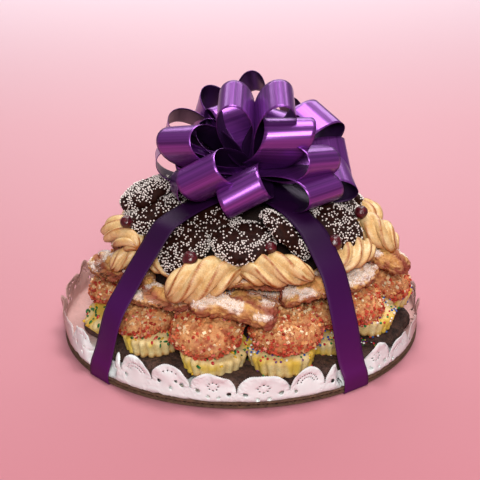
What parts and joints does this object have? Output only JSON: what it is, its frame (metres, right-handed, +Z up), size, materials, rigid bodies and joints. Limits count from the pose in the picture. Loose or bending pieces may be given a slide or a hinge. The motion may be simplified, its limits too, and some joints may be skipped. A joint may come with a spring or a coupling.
{
  "type": "cookie tower",
  "caption": "Round tower of mixed bakery cookies heaped on a round board with a paper lace doily, tied crosswise with flat ribbon and topped by a full looped ribbon bow.",
  "frame": {"origin": "middle of the flat ribbon cross under the board, the lowest plane of the whole", "axes": "+Z up, front (the side the picture shows) towards -Y, +X to the right seen from the front"},
  "size_m": [0.305, 0.305, 0.22],
  "materials": {
    "board": "matt brown board",
    "lace": "matt white paper",
    "tie_ribbon": "satin",
    "bow_ribbon": "glossy film ribbon",
    "cocoa": "porous dark crumb",
    "butter": "matt pale dough with sprinkles",
    "nut": "rough crumb coating",
    "pastry": "baked dough with jam and fine sugar",
    "spritz": "baked piped dough, slightly glazed",
    "nonpareil": "dark chocolate with sugar beads",
    "cherry": "glossy candied fruit",
    "heap": "baked cookies in shade"
  },
  "bodies": {
    "root": {"board": "board", "doily": "lace", "ribbon_tie": "tie_ribbon", "bow": "bow_ribbon", "cocoa_1": "cocoa", "cocoa_2": "cocoa", "cocoa_3": "cocoa", "cocoa_4": "cocoa", "cocoa_5": "cocoa", "cocoa_6": "cocoa", "cocoa_7": "cocoa", "cocoa_8": "cocoa", "butter_1": "butter", "butter_2": "butter", "butter_3": "butter", "butter_4": "butter", "butter_5": "butter", "butter_6": "butter", "butter_7": "butter", "butter_8": "butter", "nut_1": "nut", "nut_2": "nut", "nut_3": "nut", "nut_4": "nut", "nut_5": "nut", "nut_6": "nut", "nut_7": "nut", "pastry_1": "pastry", "pastry_2": "pastry", "pastry_3": "pastry", "pastry_4": "pastry", "pastry_5": "pastry", "pastry_6": "pastry", "pastry_7": "pastry", "pastry_8": "pastry", "spritz_1": "spritz", "spritz_2": "spritz", "spritz_3": "spritz", "spritz_4": "spritz", "spritz_5": "spritz", "spritz_6": "spritz", "spritz_7": "spritz", "spritz_8": "spritz", "nonpareil_1": "nonpareil", "nonpareil_2": "nonpareil", "nonpareil_3": "nonpareil", "nonpareil_4": "nonpareil", "nonpareil_5": "nonpareil", "nonpareil_6": "nonpareil", "nonpareil_7": "nonpareil", "nonpareil_8": "nonpareil", "nonpareil_9": "nonpareil", "cherry_1": "cherry", "cherry_2": "cherry", "cherry_3": "cherry", "cherry_4": "cherry", "cherry_5": "cherry", "heap_core": "heap"}
  },
  "joints": []
}
